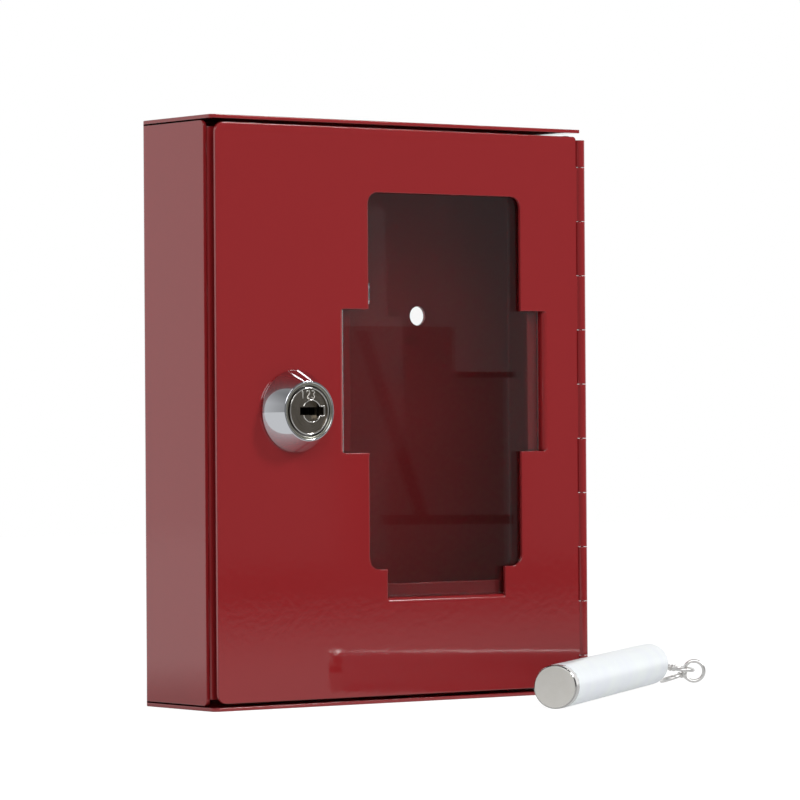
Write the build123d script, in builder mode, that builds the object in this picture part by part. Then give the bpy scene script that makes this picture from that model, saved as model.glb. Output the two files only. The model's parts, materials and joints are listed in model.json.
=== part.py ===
from build123d import *
from math import acos, cos, degrees, radians, sin, sqrt
import os

os.makedirs("parts", exist_ok=True)

# Break-glass key box: a folded sheet-steel case hung on a wall, a door on a rolled-knuckle hinge with a
# glass pane in lanced channels, a cam lock, and a loose striker with the first links of its chain.
# Millimetres. The origin is the middle of the case's wall face; +X right, +Z up, and the front faces -Y.

# ---- driving sizes: case and sheet ----
overall_width = 120.0      # left wall to the outer side of the hinge barrel
case_height = 150.0
case_depth = 32.0
sheet = 0.9                # steel sheet with its powder coat
bend_inner = 0.5           # inside radius of every fold
plate_corner = 1.5         # free front corners of the top and bottom plates, in plan
plate_hinge_corner = 0.4   # and their front corners by the hinge
wall_corner = 1.5          # front corners of the side walls
barrel_overhang = 0.35     # hinge axis beyond the plates' right ends
wall_setback = 3.5         # front edges of the side walls behind the plates' front edges
wall_slit = 0.45           # open corner between a side wall and a plate

# ---- hinge ----
pin_dia = 0.8
pin_clearance = 0.05
hinge_length = 144.4
knuckle_total = 10         # pitches in the hinge: nine whole knuckles and a half one at each end
knuckle_gap = 0.1          # air between two knuckles
roll_slit = 0.3            # air between a rolled knuckle's end and its leaf
leaf_clearance = 0.25      # air between a knuckle and the other leaf's cut-back edge

# ---- door ----
door_gap = 1.0             # above and below the door
door_inset = 1.25          # door's free edge inside the left face of the case
door_corner = 2.5          # at the free edge
hinge_corner = 1.0         # at the hinge
window_height = 97.2
window_corner = 3.0
window_z = 8.0
window_lock_gap = 3.8      # left channel to the lock nut's corners
window_hinge_margin = 11.3     # right channel to the door's edge at the hinge
cross_height = 37.0        # the two side channels lanced out of the door
cross_reach = 7.64         # from the window's side to the channel
cross_corner = 1.5
slot_step = 5.65           # the bottom channel is this much narrower on each side than the window
slot_depth = 7.3
slot_corner = 1.4
tab_kerf = 0.2             # the lancing tool's cut on each side of a channel
lip_width = 3.6            # channel lip behind the pane

# ---- glass pane ----
glass_thick = 2.0
glass_face_gap = 0.2       # pane to the door, and pane to the channel lips
glass_left_gap = 0.15      # the pane stands against its left channel
glass_right_gap = 0.85
glass_seat_gap = 0.1
glass_height = 112.0
glass_arris = 0.2

# ---- latch strip welded inside the left wall ----
strip_setback = 0.1        # strip face behind the wall's front edge
strip_width = 9.0
strip_foot = 12.0
strip_end_gap = 1.5

# ---- wall fixing holes and key hook ----
wall_hole_dia = 5.1
wall_hole_spacing = 55.0
wall_hole_z = 25.8
hook_thick = 1.2
hook_width = 8.0
hook_leg = 14.0
hook_reach = 10.0
hook_tip = 6.0
hook_bend = 1.0            # inside radius of the hook's folds
hook_round = 1.5
hook_z = 35.0
rivet_dia = 3.2
rivet_head_dia = 6.0
rivet_head = 1.3
rivet_clearance = 0.05

# ---- cam lock ----
lock_inset = 25.1          # lock axis from the left face of the case
lock_z = 0.3
bezel_base_dia = 20.9
bezel_front_dia = 15.2
bezel_height = 6.5
bezel_skirt = 0.7
bezel_round = 0.5
lock_barrel_dia = 16.0
lock_flats = 13.5
lock_length = 10.5         # barrel's end behind the door's front face
lock_hole_clearance = 0.15
recess_dia = 13.0
recess_depth = 1.3
plug_head_dia = 12.2
plug_head = 1.2
plug_rim = 0.5
plug_face_depth = 0.3
plug_dia = 9.6
plug_clearance = 0.05
key_recess_dia = 5.4
key_recess_depth = 1.5
keyway_width = 7.2
keyway_shift = 0.95        # keyway and its recess, to the right of the lock axis
keyway_height = 2.0
keyway_depth = 14.0
boss_square = 6.5
nut_flats = 19.0
nut_thick = 3.0
nut_clearance = 0.05
nut_chamfer = 0.5
wafer_count = 5
wafer_pitch = 1.9
wafer_first = 1.6          # first wafer behind the recess floor
wafer_thick = 0.8
wafer_width = 3.8
wafer_length = 8.4
wafer_window_width = 5.4
wafer_window_height = 2.2
wafer_play = 0.1
wafer_lug = 0.8            # ear that the wafer's spring pushes on
spring_dia = 0.7
spring_length = 2.2
stop_washer_thick = 1.0
stop_washer_dia = 15.0
stop_radius = 5.6          # root of the stop washer's quarter-turn notch
stop_pip_width = 2.0       # pip on the barrel's end that stops the turn
stop_play = 0.2
cam_thick = 2.0
cam_width = 9.0
cam_reach = 20.5
cam_step = 10.0            # crank of the cam, from the lock axis
cam_tip_clearance = 0.9    # cam's tip behind the latch strip
cam_bend_inner = 1.0
cam_round = 2.5
screw_dia = 4.0
screw_head_dia = 8.0
screw_head = 2.4
screw_length = 5.0
screw_slot = 1.0
fit_clearance = 0.05

# ---- striker and chain ----
striker_dia = 11.2
striker_length = 108.8
striker_band = 3.6         # bare steel at the striking end
striker_core_dia = 9.4
striker_edge = 0.4
sleeve_clearance = 0.05
sleeve_end = 2.0           # closed end of the plastic sleeve
sleeve_round = 3.0
striker_clearance = 2.3    # sleeve to the hinge barrel, where it passes closest
striker_ahead = 68.4       # striking end before that place
striker_turn = 37.7        # its axis, turned from +X toward +Y
wire_dia = 1.1
wire_sides = 6             # flats round the section of a bent wire
eye_radius = 2.8           # to the middle of the wire
eye_shank = 7.0
eye_standoff = 0.5
loop_radius = 2.75         # to the middle of the wire
loop_offset = 3.3          # loop's centre from the middle of the link
knot_dia = 2.2
knot_length = 2.4
link_1_heading = -55.3     # from +X toward +Y
link_1_tilt = -5.5         # rise along the heading
link_1_from_eye = (4.71, -2.33, -1.41)
link_2_heading = -38.2
link_2_tilt = 17.0
link_2_from_link_1 = (1.33, -3.03, -1.80)

# ---- places that follow ----
barrel_radius = pin_dia / 2 + pin_clearance + sheet
bore_radius = pin_dia / 2 + pin_clearance
case_width = overall_width - barrel_radius - barrel_overhang
left_x = -case_width / 2
right_x = case_width / 2
front_y = -case_depth
floor_z = -case_height / 2
bend_outer = bend_inner + sheet
bend_mid = bend_inner + sheet / 2
wall_height = case_height - 2 * (sheet + wall_slit)
wall_front_y = front_y + wall_setback
hinge_x = right_x + barrel_overhang
hinge_y = front_y + sheet / 2
knuckle_pitch = hinge_length / knuckle_total
door_height = case_height - 2 * (sheet + door_gap)
door_left_x = left_x + door_inset
door_back_y = front_y + sheet
door_edge_x = hinge_x - barrel_radius - leaf_clearance
lip_front_y = door_back_y + 2 * glass_face_gap + glass_thick
slot_bottom_z = window_z - window_height / 2 - slot_depth
lock_x = left_x + lock_inset
cross_left_x = lock_x + nut_flats / sqrt(3) + window_lock_gap + sheet
cross_right_x = door_edge_x - window_hinge_margin
cross_width = cross_right_x - cross_left_x
window_x = (cross_left_x + cross_right_x) / 2
window_width = cross_width - 2 * cross_reach
slot_width = window_width - 2 * slot_step
strip_front_y = wall_front_y + strip_setback
strip_height = wall_height - 2 * strip_end_gap

# The knuckles counted in pitches from the bottom: the case owns the two halves and every second whole one.
case_knuckles = [(0.0, 0.5)] + [(0.5 + k, 1.5 + k) for k in (1, 3, 5, 7)] + [(9.5, 10.0)]
door_knuckles = [(0.5 + k, 1.5 + k) for k in (0, 2, 4, 6, 8)]


def knuckle_span(start, end):
    """Bottom and height of one knuckle, given its two ends in pitches."""
    bottom = start * knuckle_pitch - hinge_length / 2 + (knuckle_gap / 2 if start > 0 else 0)
    top = end * knuckle_pitch - hinge_length / 2 - (knuckle_gap / 2 if end < knuckle_total else 0)
    return bottom, top - bottom


# ---- case shell: back, side walls, plates and the case's own knuckles, folded from one blank ----
with BuildPart() as case_shell:
    with BuildSketch(Plane.XY.offset(-wall_height / 2)):
        with BuildLine():
            FilletPolyline(
                (left_x + sheet / 2, wall_front_y),
                (left_x + sheet / 2, -sheet / 2),
                (right_x - sheet / 2, -sheet / 2),
                (right_x - sheet / 2, wall_front_y),
                radius=bend_mid,
            )
        trace(line_width=sheet)
    extrude(amount=wall_height)
    fillet(case_shell.edges().filter_by(Axis.X).group_by(Axis.Y)[0], radius=wall_corner)
    for up in (1, -1):
        with BuildSketch(Plane.YZ.offset(left_x)):
            with BuildLine():
                FilletPolyline(
                    (-sheet / 2, up * (wall_height / 2 - 2 * bend_outer)),
                    (-sheet / 2, up * (case_height - sheet) / 2),
                    (front_y, up * (case_height - sheet) / 2),
                    radius=bend_mid,
                )
            trace(line_width=sheet)
        extrude(amount=case_width)
    with BuildSketch(Plane.XY.offset(floor_z)) as blank_outline:
        with Locations((0, -case_depth / 2)):
            Rectangle(case_width, case_depth)
        fillet(blank_outline.vertices().group_by(Axis.Y)[-1], radius=bend_outer)
        front_corners = blank_outline.vertices().group_by(Axis.Y)[0].sort_by(Axis.X)
        fillet(front_corners[0], radius=plate_corner)
        fillet(front_corners[-1], radius=plate_hinge_corner)
    extrude(amount=case_height, mode=Mode.INTERSECT)
    for start, end in case_knuckles:
        bottom, length = knuckle_span(start, end)
        with BuildSketch(Plane.XY.offset(bottom)):
            with Locations((hinge_x, hinge_y)):
                Circle(barrel_radius)
                with Locations((-barrel_overhang, 0)):
                    Rectangle(sheet, wall_front_y - hinge_y + sheet, align=(Align.MAX, Align.MIN))
                    Rectangle(roll_slit, barrel_radius, align=(Align.MIN, Align.MIN), mode=Mode.SUBTRACT)
                Circle(bore_radius, mode=Mode.SUBTRACT)
        extrude(amount=length)
    with BuildSketch(Plane.XZ):
        with Locations((0, wall_hole_z)):
            with GridLocations(wall_hole_spacing, 0, 2, 1):
                Circle(wall_hole_dia / 2)
        with Locations((0, hook_z)):
            Circle(rivet_dia / 2 + rivet_clearance)
    extrude(amount=2 * sheet, mode=Mode.SUBTRACT)
case_shell.part.label = "case_shell"
export_step(case_shell.part, "parts/case_shell.step")

# ---- latch strip: folded angle, its foot spot-welded to the left wall ----
with BuildPart() as latch_strip:
    with BuildSketch(Plane.XY.offset(-strip_height / 2)):
        with BuildLine():
            FilletPolyline(
                (left_x + sheet + sheet / 2, strip_front_y + strip_foot),
                (left_x + sheet + sheet / 2, strip_front_y + sheet / 2),
                (left_x + sheet + strip_width, strip_front_y + sheet / 2),
                radius=bend_mid,
            )
        trace(line_width=sheet)
    extrude(amount=strip_height)
latch_strip.part.label = "latch_strip"
export_step(latch_strip.part, "parts/latch_strip.step")

# ---- key hook and its rivet ----
with BuildPart() as key_hook:
    with BuildSketch(Plane.YZ.offset(-hook_width / 2)):
        with BuildLine():
            FilletPolyline(
                (-sheet - hook_thick / 2, hook_z + hook_leg / 2),
                (-sheet - hook_thick / 2, hook_z - hook_leg / 2),
                (-sheet - hook_reach, hook_z - hook_leg / 2),
                (-sheet - hook_reach, hook_z - hook_leg / 2 + hook_tip),
                radius=hook_bend + hook_thick / 2,
            )
        trace(line_width=hook_thick)
    extrude(amount=hook_width)
    fillet(key_hook.edges().filter_by(Axis.Y).group_by(Axis.Z)[-1], radius=hook_round)
    with BuildSketch(Plane.XZ.offset(sheet)):
        with Locations((0, hook_z)):
            Circle(rivet_dia / 2 + rivet_clearance)
    extrude(amount=2 * hook_thick, mode=Mode.SUBTRACT)
key_hook.part.label = "key_hook"
export_step(key_hook.part, "parts/key_hook.step")

with BuildPart() as hook_rivet:
    with BuildSketch(Plane.XZ):
        with Locations((0, hook_z)):
            Circle(rivet_dia / 2)
    extrude(amount=sheet + hook_thick + fit_clearance)
    with BuildSketch(Plane.XZ.offset(sheet + hook_thick + fit_clearance)):
        with Locations((0, hook_z)):
            Circle(rivet_head_dia / 2)
    extrude(amount=rivet_head)
    chamfer(hook_rivet.edges().group_by(Axis.Y)[0], length=rivet_head / 2)
hook_rivet.part.label = "hook_rivet"
export_step(hook_rivet.part, "parts/hook_rivet.step")

# ---- hinge pin ----
with BuildPart() as hinge_pin:
    with BuildSketch(Plane.XY.offset(-hinge_length / 2)):
        with Locations((hinge_x, hinge_y)):
            Circle(pin_dia / 2)
    extrude(amount=hinge_length)
hinge_pin.part.label = "hinge_pin"
export_step(hinge_pin.part, "parts/hinge_pin.step")

# ---- door: flat sheet with lanced glass channels and its knuckles rolled over its middle plane ----
with BuildPart() as door_panel:
    with BuildSketch(Plane.XZ.offset(-door_back_y)) as door_sheet:
        with Locations(((door_left_x + door_edge_x) / 2, 0)):
            Rectangle(door_edge_x - door_left_x, door_height)
        fillet(door_sheet.vertices().group_by(Axis.X)[0], radius=door_corner)
        fillet(door_sheet.vertices().sort_by(Axis.X)[-2:], radius=hinge_corner)
        with Locations((window_x, window_z)):
            RectangleRounded(window_width, window_height, window_corner, mode=Mode.SUBTRACT)
            RectangleRounded(cross_width + 2 * bend_outer, cross_height, cross_corner, mode=Mode.SUBTRACT)
        slot_height = slot_depth + bend_outer + 2 * window_corner
        with BuildSketch(mode=Mode.SUBTRACT) as slot:
            with Locations((window_x, slot_bottom_z - bend_outer)):
                Rectangle(slot_width, slot_height, align=(Align.CENTER, Align.MIN))
            fillet(slot.vertices().group_by(Axis.Y)[0], radius=slot_corner)
        with Locations((lock_x, lock_z)):
            Circle(lock_barrel_dia / 2 + lock_hole_clearance, mode=Mode.SUBTRACT)
        for side in (1, -1):
            with Locations((lock_x + side * (lock_flats / 2 + lock_hole_clearance), lock_z)):
                flat_align = Align.MIN if side > 0 else Align.MAX
                Rectangle(lock_barrel_dia / 4, lock_barrel_dia, align=(flat_align, Align.CENTER))
    extrude(amount=sheet)
    for side in (1, -1):
        with BuildSketch(Plane.XY.offset(window_z - cross_height / 2 + tab_kerf)):
            leg_x = window_x + side * (cross_width + sheet) / 2
            with BuildLine():
                FilletPolyline(
                    (leg_x + side * 2 * bend_outer, hinge_y),
                    (leg_x, hinge_y),
                    (leg_x, lip_front_y + sheet / 2),
                    (leg_x - side * (lip_width + sheet / 2), lip_front_y + sheet / 2),
                    radius=bend_mid,
                )
            trace(line_width=sheet)
        extrude(amount=cross_height - 2 * tab_kerf)
    with BuildSketch(Plane.YZ.offset(window_x - slot_width / 2 + tab_kerf)):
        leg_z = slot_bottom_z - sheet / 2
        with BuildLine():
            FilletPolyline(
                (hinge_y, leg_z - 2 * bend_outer),
                (hinge_y, leg_z),
                (lip_front_y + sheet / 2, leg_z),
                (lip_front_y + sheet / 2, leg_z + lip_width + sheet / 2),
                radius=bend_mid,
            )
        trace(line_width=sheet)
    extrude(amount=slot_width - 2 * tab_kerf)
    for start, end in door_knuckles:
        bottom, length = knuckle_span(start, end)
        with BuildSketch(Plane.XY.offset(bottom)):
            with Locations((hinge_x, hinge_y)):
                Circle(barrel_radius)
                leaf_length = hinge_x - door_edge_x + sheet
                Rectangle(leaf_length, sheet, align=(Align.MAX, Align.CENTER))
                with Locations((-bore_radius / 2, sheet / 2)):
                    Rectangle(barrel_radius, roll_slit, align=(Align.MAX, Align.MIN), mode=Mode.SUBTRACT)
                Circle(bore_radius, mode=Mode.SUBTRACT)
        extrude(amount=length)
door_panel.part.label = "door_panel"
export_step(door_panel.part, "parts/door_panel.step")

# ---- glass pane, standing in the bottom channel between the two side channels ----
with BuildPart() as glass_pane:
    with BuildSketch(Plane.XZ.offset(-door_back_y - glass_face_gap - glass_thick)):
        with Locations((cross_left_x + glass_left_gap, slot_bottom_z + glass_seat_gap)):
            glass_width = cross_width - glass_left_gap - glass_right_gap
            Rectangle(glass_width, glass_height, align=(Align.MIN, Align.MIN))
    extrude(amount=glass_thick)
    chamfer(glass_pane.faces().filter_by(Axis.Y).edges(), length=glass_arris)
glass_pane.part.label = "glass_pane"
export_step(glass_pane.part, "parts/glass_pane.step")

# ---- cam lock, drawn about its own axis: local x is the radius and local y the distance behind the door's face ----
lock_section = Plane(origin=(lock_x, front_y, lock_z), x_dir=(1, 0, 0), z_dir=(0, 0, 1))
lock_axis = Axis((lock_x, front_y, lock_z), (0, 1, 0))
plug_radius = plug_dia / 2
recess_floor = recess_depth - bezel_height
boss_end = lock_length + 2 * fit_clearance + stop_washer_thick + cam_thick - fit_clearance


def lock_plane(depth):
    """Plane across the lock at a distance behind the door's front face; positive extrusion goes forward."""
    return Plane(origin=(lock_x, front_y + depth, lock_z), x_dir=(1, 0, 0), z_dir=(0, -1, 0))


with BuildPart() as lock_housing:
    with BuildSketch(lock_section):
        with BuildLine():
            Polyline(
                (plug_radius + plug_clearance, recess_floor),
                (recess_dia / 2, recess_floor),
                (recess_dia / 2, -bezel_height),
                (bezel_front_dia / 2, -bezel_height),
                (bezel_base_dia / 2, -bezel_skirt),
                (bezel_base_dia / 2, 0),
                (lock_barrel_dia / 2, 0),
                (lock_barrel_dia / 2, lock_length),
                (plug_radius + plug_clearance, lock_length),
                close=True,
            )
        make_face()
    revolve(axis=lock_axis)
    front_edges = lock_housing.edges().filter_by(GeomType.CIRCLE).group_by(Axis.Y)[0]
    chamfer(front_edges.sort_by(SortBy.RADIUS)[-1], length=bezel_round)
    with BuildSketch(lock_plane(lock_length)):
        with GridLocations(lock_flats + lock_barrel_dia, 0, 2, 1):
            Rectangle(lock_barrel_dia, 2 * lock_barrel_dia)
    extrude(amount=lock_length, mode=Mode.SUBTRACT)
    with BuildSketch(lock_plane(lock_length + stop_washer_thick)):
        with Locations((0, stop_radius + stop_play)):
            pip_height = stop_washer_dia / 2 - stop_radius - stop_play
            Rectangle(stop_pip_width, pip_height, align=(Align.CENTER, Align.MIN))
    extrude(amount=stop_washer_thick)
lock_housing.part.label = "lock_housing"
export_step(lock_housing.part, "parts/lock_housing.step")

with BuildPart() as lock_nut:
    with BuildSketch(lock_plane(sheet + nut_clearance + nut_thick)):
        RegularPolygon(nut_flats / 2, 6, major_radius=False)
        Circle(lock_barrel_dia / 2 + nut_clearance, mode=Mode.SUBTRACT)
    extrude(amount=nut_thick)
lock_nut.part.label = "lock_nut"
export_step(lock_nut.part, "parts/lock_nut.step")

with BuildPart() as lock_plug:
    with BuildSketch(lock_section):
        with BuildLine():
            Polyline(
                (0, plug_face_depth - plug_head + recess_floor - fit_clearance),
                (plug_head_dia / 2 - plug_rim, plug_face_depth - plug_head + recess_floor - fit_clearance),
                (plug_head_dia / 2 - plug_rim, -plug_head + recess_floor - fit_clearance),
                (plug_head_dia / 2, -plug_head + recess_floor - fit_clearance),
                (plug_head_dia / 2, recess_floor - fit_clearance),
                (plug_radius, recess_floor - fit_clearance),
                (plug_radius, lock_length),
                (0, lock_length),
                close=True,
            )
        make_face()
    revolve(axis=lock_axis)
    with BuildSketch(lock_plane(boss_end)):
        Rectangle(boss_square, boss_square)
    extrude(amount=boss_end - lock_length)
    with BuildSketch(lock_plane(recess_floor - plug_head + plug_face_depth + key_recess_depth)):
        with Locations((keyway_shift, 0)):
            Circle(key_recess_dia / 2)
    extrude(amount=bezel_height, mode=Mode.SUBTRACT)
    with BuildSketch(lock_plane(recess_floor + keyway_depth)):
        with Locations((keyway_shift, 0)):
            Rectangle(keyway_width, keyway_height)
    extrude(amount=keyway_depth + bezel_height, mode=Mode.SUBTRACT)
    for wafer in range(wafer_count):
        with BuildSketch(lock_plane(recess_floor + wafer_first + wafer * wafer_pitch + wafer_thick + wafer_play)):
            Rectangle(plug_dia, wafer_width + 2 * wafer_play)
            with Locations((-spring_length / 2 - wafer_play, wafer_width / 2)):
                pocket = (spring_length + wafer_lug + 3 * wafer_play, spring_dia + 3 * wafer_play)
                Rectangle(*pocket, align=(Align.MIN, Align.MIN))
        extrude(amount=wafer_thick + 2 * wafer_play, mode=Mode.SUBTRACT)
    with BuildSketch(lock_plane(boss_end)):
        Circle(screw_dia / 2 + fit_clearance)
    extrude(amount=screw_length, mode=Mode.SUBTRACT)
lock_plug.part.label = "lock_plug"
export_step(lock_plug.part, "parts/lock_plug.step")

with BuildPart() as lock_wafers:
    for wafer in range(wafer_count):
        with BuildSketch(lock_plane(recess_floor + wafer_first + wafer * wafer_pitch + wafer_thick)):
            Rectangle(wafer_length, wafer_width)
            with Locations((spring_length / 2 + wafer_play, wafer_width / 2)):
                Rectangle(wafer_lug, wafer_lug, align=(Align.MIN, Align.MIN))
            with Locations((keyway_shift, 0)):
                Rectangle(wafer_window_width, wafer_window_height, mode=Mode.SUBTRACT)
        extrude(amount=wafer_thick)
lock_wafers.part.label = "lock_wafers"
export_step(lock_wafers.part, "parts/lock_wafers.step")

with BuildPart() as wafer_springs:
    with BuildSketch(Plane.YZ.offset(lock_x - spring_length / 2)):
        for wafer in range(wafer_count):
            spring_y = front_y + recess_floor + wafer_first + wafer * wafer_pitch + wafer_thick / 2
            with Locations((spring_y, lock_z + (wafer_width + spring_dia) / 2 + 2 * wafer_play)):
                RegularPolygon(spring_dia / 2, wire_sides)
    extrude(amount=spring_length)
wafer_springs.part.label = "wafer_springs"
export_step(wafer_springs.part, "parts/wafer_springs.step")

with BuildPart() as lock_stop_washer:
    with BuildSketch(lock_plane(lock_length + fit_clearance + stop_washer_thick)):
        Circle(stop_washer_dia / 2)
        Rectangle(boss_square + 2 * fit_clearance, boss_square + 2 * fit_clearance, mode=Mode.SUBTRACT)
    extrude(amount=stop_washer_thick)
    with BuildSketch(lock_plane(lock_length + fit_clearance + stop_washer_thick)):
        with Locations((stop_pip_width / 2 + stop_play, -stop_pip_width / 2 - stop_play)):
            Rectangle(stop_washer_dia, stop_washer_dia, align=(Align.MAX, Align.MIN))
        Circle(stop_radius, mode=Mode.SUBTRACT)
    extrude(amount=stop_washer_thick, mode=Mode.SUBTRACT)
lock_stop_washer.part.label = "lock_stop_washer"
export_step(lock_stop_washer.part, "parts/lock_stop_washer.step")

# The cam hangs down when the door is free; its tip is cranked forward to pass behind the latch strip.
cam_root_y = front_y + boss_end + fit_clearance - cam_thick / 2
cam_tip_y = strip_front_y + sheet + cam_tip_clearance + cam_thick / 2
with BuildPart() as lock_cam:
    with BuildSketch(Plane.YZ.offset(lock_x - cam_width / 2)):
        with BuildLine():
            FilletPolyline(
                (cam_root_y, lock_z + stop_washer_dia / 2),
                (cam_root_y, lock_z - cam_step),
                (cam_tip_y, lock_z - cam_step),
                (cam_tip_y, lock_z - cam_reach),
                radius=cam_bend_inner + cam_thick / 2,
            )
        trace(line_width=cam_thick)
    extrude(amount=cam_width)
    cam_ends = lock_cam.edges().filter_by(Axis.Y).group_by(Axis.Z)
    fillet(cam_ends[0] + cam_ends[-1], radius=cam_round)
    with BuildSketch(lock_plane(boss_end + cam_thick)):
        Rectangle(boss_square + 2 * fit_clearance, boss_square + 2 * fit_clearance)
    extrude(amount=2 * cam_thick, mode=Mode.SUBTRACT)
lock_cam.part.label = "lock_cam"
export_step(lock_cam.part, "parts/lock_cam.step")

with BuildPart() as cam_screw:
    with BuildSketch(lock_plane(boss_end + 2 * fit_clearance + screw_head)):
        Circle(screw_head_dia / 2)
    extrude(amount=screw_head)
    chamfer(cam_screw.edges().group_by(Axis.Y)[-1], length=screw_head / 3)
    with BuildSketch(lock_plane(boss_end + 2 * fit_clearance + screw_head)):
        Rectangle(screw_head_dia, screw_slot)
    extrude(amount=screw_head / 2, mode=Mode.SUBTRACT)
    with BuildSketch(lock_plane(boss_end + 2 * fit_clearance)):
        Circle(screw_dia / 2)
    extrude(amount=screw_length - screw_slot)
cam_screw.part.label = "cam_screw"
export_step(cam_screw.part, "parts/cam_screw.step")

# ---- striker: a steel bar in a plastic sleeve, lying in front of the case with its chain end away ----
turn = radians(striker_turn)
striker_dir = Vector(cos(turn), sin(turn), 0)
striker_side = Vector(sin(turn), -cos(turn), 0)
hinge_foot = Vector(hinge_x, hinge_y, floor_z + striker_dia / 2)
striker_offset = barrel_radius + striker_clearance + striker_dia / 2
striker_start = hinge_foot + striker_side * striker_offset - striker_dir * striker_ahead
striker_axis = Axis(striker_start, striker_dir)
striker_section = Plane(origin=striker_start, x_dir=striker_dir, z_dir=(0, 0, 1))
core_end = striker_length - sleeve_end - fit_clearance
eye_bore = wire_dia / 2 + fit_clearance


def striker_plane(distance):
    """Plane across the striker at a distance from its striking end; positive extrusion goes back to that end."""
    return Plane(origin=striker_start + striker_dir * distance, x_dir=(0, 0, 1), z_dir=-striker_dir)


with BuildPart() as hammer_rod:
    with BuildSketch(striker_section):
        with BuildLine():
            Polyline(
                (0, 0),
                (0, striker_dia / 2 - striker_edge),
                (striker_edge, striker_dia / 2),
                (striker_band, striker_dia / 2),
                (striker_band, striker_core_dia / 2),
                (core_end, striker_core_dia / 2),
                (core_end, 0),
                close=True,
            )
        make_face()
    revolve(axis=striker_axis)
    with BuildSketch(striker_plane(core_end)):
        Circle(eye_bore)
    extrude(amount=eye_shank, mode=Mode.SUBTRACT)
hammer_rod.part.label = "hammer_rod"
export_step(hammer_rod.part, "parts/hammer_rod.step")

with BuildPart() as hammer_sleeve:
    with BuildSketch(striker_plane(striker_length)):
        Circle(striker_dia / 2)
    extrude(amount=striker_length - striker_band - fit_clearance)
    fillet(hammer_sleeve.edges().sort_by(striker_axis)[-1], radius=sleeve_round)
    with BuildSketch(striker_plane(striker_length - sleeve_end)):
        Circle(striker_core_dia / 2 + sleeve_clearance)
    extrude(amount=striker_length, mode=Mode.SUBTRACT)
    with BuildSketch(striker_plane(striker_length + sleeve_end)):
        Circle(eye_bore)
    extrude(amount=2 * sleeve_end + sleeve_round, mode=Mode.SUBTRACT)
hammer_sleeve.part.label = "hammer_sleeve"
export_step(hammer_sleeve.part, "parts/hammer_sleeve.step")

eye_middle = striker_length + eye_standoff + wire_dia / 2 + eye_radius
eye_point = striker_start + striker_dir * eye_middle
with BuildPart() as hammer_eye:
    with BuildSketch(striker_plane(eye_middle - eye_radius)):
        RegularPolygon(wire_dia / 2, wire_sides)
    extrude(amount=eye_middle - eye_radius - core_end + eye_shank - fit_clearance)
    with BuildSketch(Plane(eye_point, x_dir=striker_dir, z_dir=(0, 0, 1))):
        with Locations((eye_radius, 0)):
            RegularPolygon(wire_dia / 2, wire_sides)
    revolve(axis=Axis(eye_point, striker_side))
hammer_eye.part.label = "hammer_eye"
export_step(hammer_eye.part, "parts/hammer_eye.step")

# ---- chain: the first two links, linked through the eye and through one another ----
link_1_point = eye_point + Vector(*link_1_from_eye)
link_2_point = link_1_point + Vector(*link_2_from_link_1)
loop_half_turn = 180 - degrees(acos(loop_radius / loop_offset))    # of the loop's arc, up to its straight legs
loop_leg = sqrt(loop_offset**2 - loop_radius**2)


def chain_link(middle, heading, tilt, twist):
    """One link of knotted chain: two drop-shaped wire loops, the far one turned upright by the twist, and their knot."""
    rise = radians(tilt)
    along = Vector(cos(rise) * cos(radians(heading)), cos(rise) * sin(radians(heading)), sin(rise))
    level = Vector(-sin(radians(heading)), cos(radians(heading)), 0)
    flat = along.cross(level)
    with BuildPart() as link:
        for outward, normal in ((along * -1, flat), (along, level if twist else flat)):
            loop_middle = middle + outward * loop_offset
            for hand in (1, -1):
                radial = outward.rotate(Axis((0, 0, 0), normal), hand * loop_half_turn)
                section = Plane(loop_middle + radial * loop_radius, x_dir=radial, z_dir=normal.cross(radial) * hand)
                with BuildSketch(section):
                    RegularPolygon(wire_dia / 2, wire_sides)
                extrude(amount=loop_leg)
            with BuildSketch(section):
                RegularPolygon(wire_dia / 2, wire_sides)
            revolve(axis=Axis(loop_middle, normal), revolution_arc=2 * loop_half_turn)
        with Locations(Plane(middle, z_dir=along)):
            Cylinder(knot_dia / 2, knot_length)
    return link


chain_link_1 = chain_link(link_1_point, link_1_heading, link_1_tilt, False)
chain_link_1.part.label = "chain_link_1"
export_step(chain_link_1.part, "parts/chain_link_1.step")

chain_link_2 = chain_link(link_2_point, link_2_heading, link_2_tilt, True)
chain_link_2.part.label = "chain_link_2"
export_step(chain_link_2.part, "parts/chain_link_2.step")
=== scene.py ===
import json
import math

import bmesh
import bpy
import numpy as np
from mathutils import Matrix, Vector


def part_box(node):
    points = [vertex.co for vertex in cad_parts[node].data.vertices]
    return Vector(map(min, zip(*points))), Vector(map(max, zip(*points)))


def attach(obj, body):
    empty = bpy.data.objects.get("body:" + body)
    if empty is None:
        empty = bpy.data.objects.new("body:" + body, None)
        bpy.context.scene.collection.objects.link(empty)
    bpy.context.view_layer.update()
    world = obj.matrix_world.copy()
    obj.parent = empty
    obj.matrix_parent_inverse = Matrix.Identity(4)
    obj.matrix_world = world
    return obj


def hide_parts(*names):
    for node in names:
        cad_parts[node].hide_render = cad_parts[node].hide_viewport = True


# Looks of the break-glass key box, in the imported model's frame: origin at the middle of the wall face, +X
# right, +Z up, and the door faces -Y. Sizes here are in millimetres; a mesh is turned to metres when it is
# made.

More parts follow.
